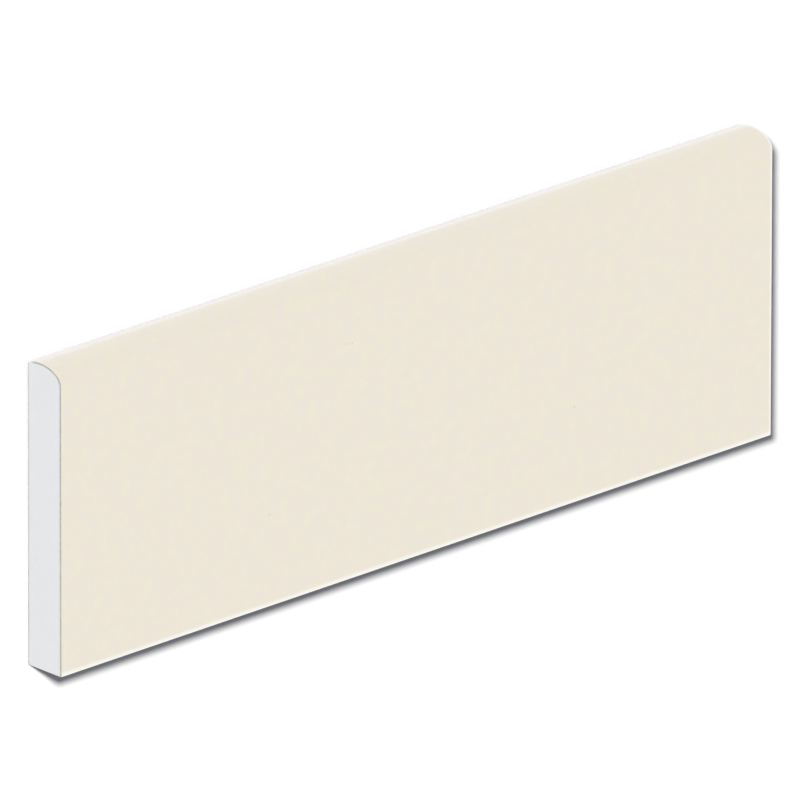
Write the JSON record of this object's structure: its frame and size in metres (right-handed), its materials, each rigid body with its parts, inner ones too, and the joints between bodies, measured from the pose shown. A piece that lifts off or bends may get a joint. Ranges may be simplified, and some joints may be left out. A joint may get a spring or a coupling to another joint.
{
  "type": "bullnose tile",
  "caption": "Flat rectangular ceramic wall tile with one long edge rounded over, which finishes the open edge of a tiled surface.",
  "frame": {"origin": "centre of the footprint, on the plane of the back that the tile lies on", "axes": "+X along the length, +Y towards the rounded long edge, +Z out of the glazed face"},
  "size_m": [0.1524, 0.0508, 0.0076],
  "materials": {
    "glaze": "satin"
  },
  "bodies": {
    "root": {"bullnose_tile": "glaze"}
  },
  "joints": []
}
